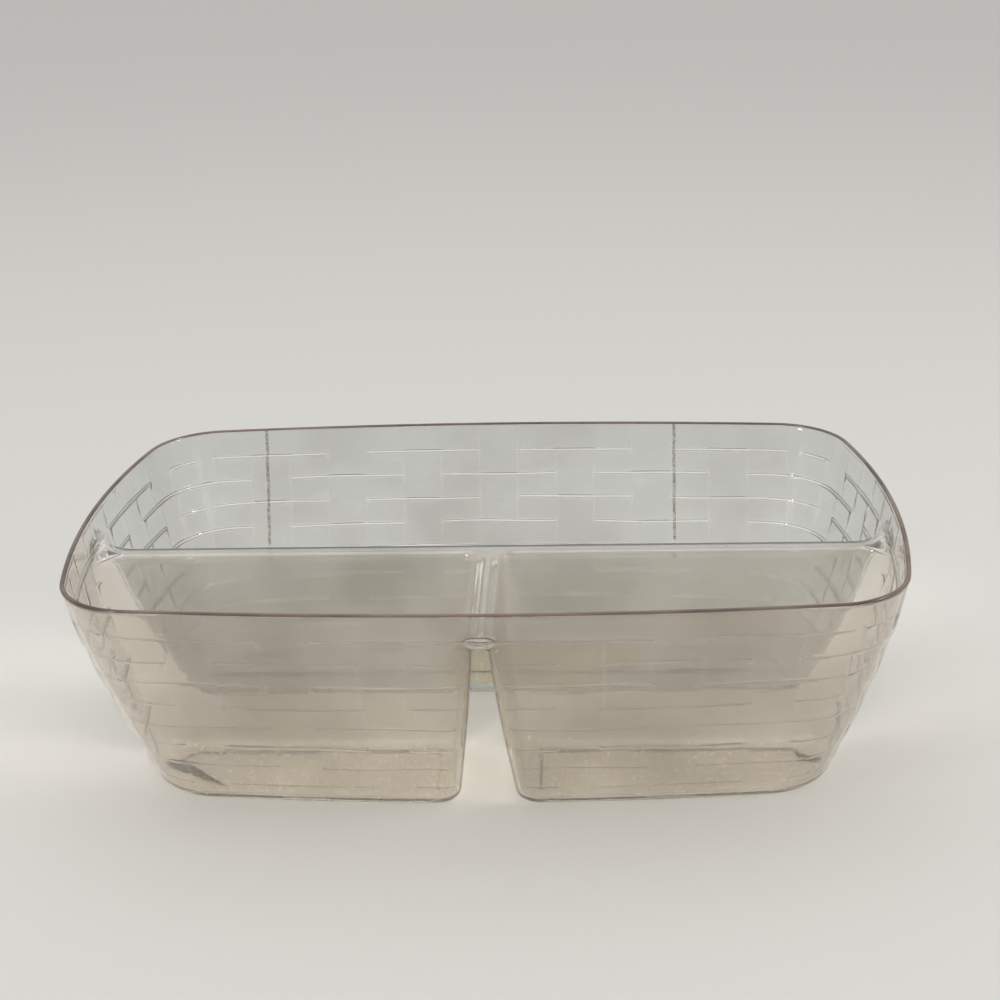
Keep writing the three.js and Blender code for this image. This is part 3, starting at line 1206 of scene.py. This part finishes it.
    def _pocket(self, pocket: Pocket, shared: list[int], skin: Skin) -> list[int]:
        """Builds one skin of a pocket.

        Args:
            pocket: Which pocket.
            shared: The stretch of the lowest upper ring that bounds it.
            skin: Which skin.

        Returns:
            The stretch of its top ring along the channels.
        """
        form = self.form
        inset, floor = (0.0, 0.0) if skin is Skin.OUTER else (form.wall, form.wall + form.foot_recess)
        top = form.channel_top if skin is Skin.OUTER else form.divider_drop
        radius = form.vault_radius if skin is Skin.OUTER else form.bead_radius
        round_start = form.height - floor - (form.floor_radius - inset)
        depths = [top + along for along, _ in quarter(radius, self.edge_segments)]
        depths += [d for d in form.course_depths(top, round_start) if d > depths[-1] + self.smallest_gap]
        foot_round = reversed(quarter(form.floor_radius - inset, self.edge_segments))
        depths += [form.height - floor - along for along, _ in foot_round][1:]
        channel: list[int] = []
        previous: list[int] = []
        for depth in depths:
            rise = depth - top
            flare = radius - math.sqrt(radius ** 2 - (radius - rise) ** 2) if rise < radius else 0.0
            outline = form.outline(pocket, Level(depth, inset, floor, flare))
            woven = self._woven(outline, depth)
            if not previous:
                channel = self.mesh.add_points(woven[len(outline[0]):])
                previous = shared + channel
                continue
            current = self.mesh.add_points(woven)
            self._strip(previous, current, skin)
            previous = current
        self._floor(outline[0] + outline[1], previous, skin)
        return channel

    def _floor(self, outline: Ring, last: list[int], skin: Skin) -> None:
        """Closes the bottom of a pocket.

        Args:
            outline: The plain outline of the last ring.
            last: The last ring.
            skin: Which skin: the inner floor is flat, the outer one stands on a foot.
        """
        form = self.form
        floor = form.wall + form.foot_recess
        steps = [(amount, floor) for amount in self.floor_steps]
        if skin is Skin.OUTER:
            foot, recess = form.foot_width, form.foot_recess
            steps = [(self.foot_edge, 0.0), (foot, 0.0), (foot + recess, recess),
                     (foot + recess + self.recess_edge, recess)]
        for amount, height in steps:
            current = self.mesh.add_points([(x, y, height) for x, y in shrink(outline, amount)])
            self._strip(last, current, skin)
            last = current
        self.mesh.add_face(last if skin is Skin.INNER else last[::-1])


@dataclass
class BaseLabel:
    """The blank paper label under the chip bowl, with its front right corner torn away."""

    node: str = "base_label"
    tear_share_x: float = 0.22
    tear_share_y: float = 0.5
    columns: int = 60
    rows: int = 24
    tear_blend: float = 0.12
    ragged_mm: float = 0.5
    ragged_reach: int = 8
    ragged_waves: tuple[float, float] = (61.0, 23.0)
    paper: AgedPaper = field(default_factory=AgedPaper)

    def build(self) -> bpy.types.Object:
        """Builds the label inside its CAD box.

        Returns:
            The label object.
        """
        low, high = ([value / MM for value in corner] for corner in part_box(self.node))
        mesh = MeshBuilder()
        sheets = []
        for height in (low[2], high[2]):
            grid = [mesh.add_points([self._place(low, high, column / self.columns, row / self.rows, height)
                                     for column in range(self.columns + 1)]) for row in range(self.rows + 1)]
            sheets.append(grid)
        for row in range(self.rows):
            for column in range(self.columns):
                under = [sheets[0][row][column], sheets[0][row + 1][column],
                         sheets[0][row + 1][column + 1], sheets[0][row][column + 1]]
                over = [sheets[1][row][column], sheets[1][row][column + 1],
                        sheets[1][row + 1][column + 1], sheets[1][row + 1][column]]
                mesh.add_face(under)
                mesh.add_face(over)
        mesh.add_strip(self._border(sheets[0]), self._border(sheets[1]))
        label = mesh.build("base_label_paper", [self.paper.material()])
        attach(label, ROOT)
        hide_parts(self.node)
        return label

    def _place(self, low: list[float], high: list[float], across: float, up: float,
               height: float) -> tuple[float, float, float]:
        """Place of a sheet point, with the torn corner and ragged tear.

        Args:
            low: Lowest corner of the label's box.
            high: Highest corner of the label's box.
            across: Share of the way from left to right.
            up: Share of the way from front to back.
            height: Height of the sheet's face.

        Returns:
            The point in millimetres.
        """
        blend = min(1.0, max(0.0, (self.tear_share_y - up) / self.tear_blend + 0.5))
        torn = 1 - self.tear_share_x * smooth(blend)
        first, second = self.ragged_waves
        rough = self.ragged_mm * blend * across ** self.ragged_reach
        rough *= math.sin(up * first) * math.cos(up * second)
        x = low[0] + (high[0] - low[0]) * across * torn - abs(rough)
        return x, low[1] + (high[1] - low[1]) * up, height

    @staticmethod
    def _border(grid: list[list[int]]) -> list[int]:
        """Finds the outer loop of a grid of points.

        Args:
            grid: Rows of point numbers.

        Returns:
            The loop, anticlockwise.
        """
        right = [row[-1] for row in grid[1:-1]]
        left = [row[0] for row in reversed(grid[1:-1])]
        return grid[0] + right + grid[-1][::-1] + left


# ---- Studio ---------------------------------------------------------------------------------
@dataclass(frozen=True)
class SoftLight:
    """A square area light: its place, aim and side in metres, its watts and its sRGB hex colour."""

    name: str
    place: tuple[float, float, float]
    aim: tuple[float, float, float]
    size: float
    power: float
    colour: str


@dataclass
class Studio:
    """Pale floor, soft lights and the camera, in metres."""

    floor_size: float = 14.0
    floor_gap: float = 0.0003
    zenith: str = "fbfaf7"
    horizon: str = "a3a19f"
    ambient_strength: float = 0.88
    azimuth: float = 2.53
    elevation: float = 21.41
    roll: float = -1.6
    distance: float = 0.7232
    aim: tuple[float, float, float] = (0.0049, 0.0, CAD_BOX[1][2] + 0.0021)
    focal_mm: float = 59.94
    sensor_mm: float = 36.0
    near_clip: float = 0.01
    horizon_band: float = 0.5
    paint: PaleFloor = field(default_factory=PaleFloor)
    lights: tuple[SoftLight, ...] = (
        SoftLight("overhead_softbox", (-0.3, 0.2, 1.6), (0.0, 0.0, 0.0), 1.4, 5.0, "fdfbf8"),
        SoftLight("side_key", (1.3, -0.25, 0.85), (0.0, 0.0, 0.05), 0.22, 5.0, "fffcf6"),
        SoftLight("left_key", (-1.0, -0.9, 1.1), (0.0, 0.0, 0.05), 0.22, 5.0, "fffcf6"))

    def build(self) -> None:
        """Builds the floor, the lights and the camera."""
        bpy.context.scene.view_settings.view_transform = "Standard"
        self._floor()
        self._world()
        for light in self.lights:
            self._light(light)
        self._camera()

    def _floor(self) -> None:
        """Builds the floor, a hair below the tray's foot so that the two faces don't meet."""
        half, drop = self.floor_size / 2 / MM, -self.floor_gap / MM
        mesh = MeshBuilder()
        corners = [(-half, -half, drop), (half, -half, drop), (half, half, drop), (-half, half, drop)]
        mesh.add_face(mesh.add_points(corners))
        floor = mesh.build("studio_floor", [self.paint.material()])

    def _world(self) -> None:
        """Fills the room with soft light from above that dims towards the horizon."""
        world = bpy.data.worlds.new("soft_room")
        world.use_nodes = True
        tree = world.node_tree
        way = add_node(tree, "TexCoord").outputs["Generated"]
        height = add_node(tree, "SeparateXYZ", links={"Vector": way}).outputs["Z"]
        ramp = add_node(tree, "ValToRGB", links={"Fac": height})
        set_ramp(ramp, [(0.0, linear(self.horizon)), (self.horizon_band, linear(self.zenith))])
        background = tree.nodes["Background"]
        tree.links.new(ramp.outputs["Color"], background.inputs["Color"])
        background.inputs["Strength"].default_value = self.ambient_strength
        bpy.context.scene.world = world

    def _light(self, lamp: SoftLight) -> None:
        """Adds one area light.

        Args:
            lamp: What it is and where it stands.
        """
        data = bpy.data.lights.new(lamp.name, "AREA")
        data.size = lamp.size
        data.energy = lamp.power
        data.color = linear(lamp.colour)[:3]
        light = bpy.data.objects.new(lamp.name, data)
        place = np.array(lamp.place)
        away = place - np.array(lamp.aim)
        light.matrix_world = self._look(place, away / np.linalg.norm(away), 0.0)
        bpy.context.scene.collection.objects.link(light)

    @staticmethod
    def _look(place: np.ndarray, back: np.ndarray, roll: float) -> Matrix:
        """Placement of a camera or light.

        Args:
            place: Where it stands.
            back: Unit vector from what it looks at to it.
            roll: Turn about that vector, in radians.

        Returns:
            The world matrix.
        """
        right = np.cross(-back, (0.0, 0.0, 1.0))
        right /= np.linalg.norm(right)
        up = np.cross(back, right)
        turned_right = right * math.cos(roll) + up * math.sin(roll)
        turned_up = up * math.cos(roll) - right * math.sin(roll)
        columns = [turned_right, turned_up, back, place]
        rows = [[float(column[i]) for column in columns] for i in range(3)]
        return Matrix([*rows, [0.0, 0.0, 0.0, 1.0]])

    def _camera(self) -> None:
        """Builds the camera."""
        azimuth, elevation = math.radians(self.azimuth), math.radians(self.elevation)
        back = np.array([math.sin(azimuth) * math.cos(elevation), -math.cos(azimuth) * math.cos(elevation),
                         math.sin(elevation)])
        data = bpy.data.cameras.new("camera")
        data.lens = self.focal_mm
        data.sensor_width = self.sensor_mm
        data.clip_start = self.near_clip
        camera = bpy.data.objects.new("camera", data)
        place = np.array(self.aim) + back * self.distance
        camera.matrix_world = self._look(place, back, math.radians(self.roll))
        bpy.context.scene.collection.objects.link(camera)
        bpy.context.scene.camera = camera


def main() -> None:
    """Builds the studio, the tray and its label."""
    logging.basicConfig(level=logging.INFO, format="%(name)s: %(message)s")
    Studio().build()
    for builder in (ClearTray(), BaseLabel()):
        piece = builder.build()
        LOG.info("%s: %d faces", piece.name, len(piece.data.polygons))


if __name__ == "__main__":
    main()
